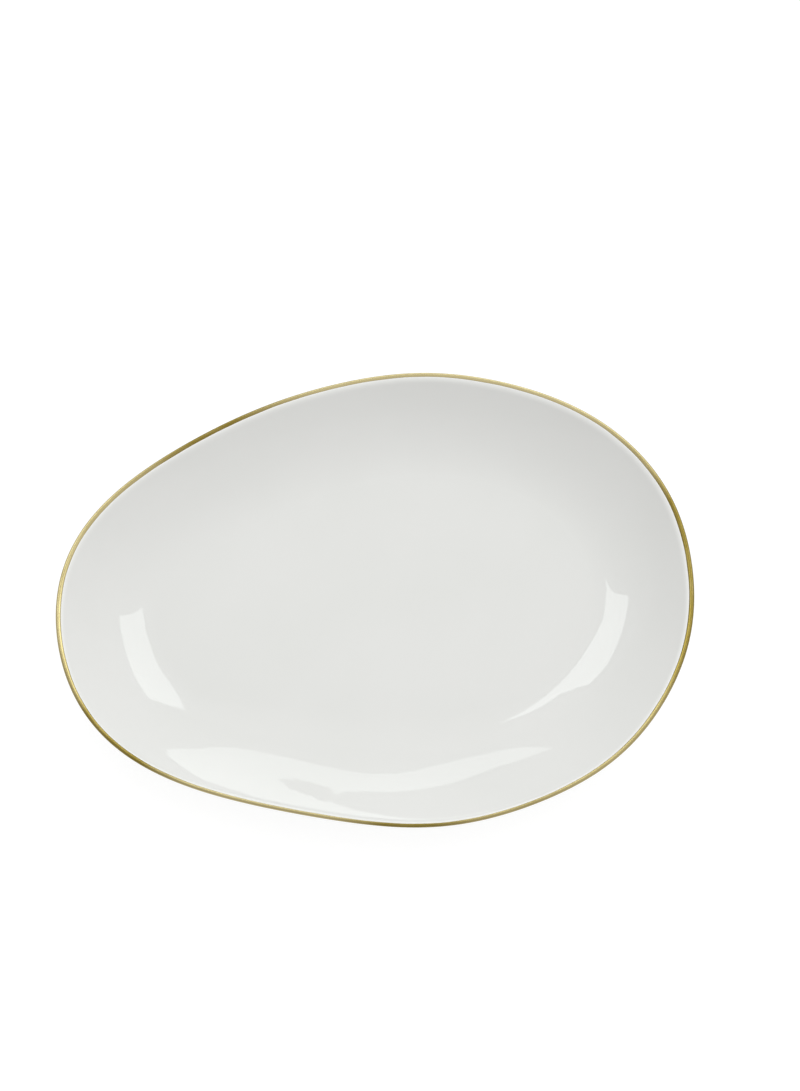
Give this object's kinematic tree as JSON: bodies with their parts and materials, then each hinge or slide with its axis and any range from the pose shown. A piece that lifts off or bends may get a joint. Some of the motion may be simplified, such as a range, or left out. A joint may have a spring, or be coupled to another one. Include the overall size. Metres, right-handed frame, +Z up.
{
  "type": "serving platter",
  "caption": "Free-form oval coupe serving platter in white glazed porcelain, with a flat floor, a wall that curves up to a gilt lip, and a dry foot ring underneath.",
  "frame": {"origin": "under the middle of the rim's bounding box, on the plane that the foot ring stands on", "axes": "+X along the platter's length, towards its broader end; +Y across it; +Z up"},
  "size_m": [0.3602, 0.2946, 0.0326],
  "materials": {
    "bisque_body": "matt vitrified porcelain",
    "dry_foot": "unglazed, ground smooth",
    "white_glaze": "high gloss feldspathic glaze",
    "gilding": "burnished gold, soft sheen"
  },
  "bodies": {
    "root": {"porcelain_body": "bisque_body", "foot_ring": "dry_foot", "face_glaze": "white_glaze", "back_glaze": "white_glaze", "foot_well_glaze": "white_glaze", "gilt_rim_band": "gilding"}
  },
  "joints": []
}
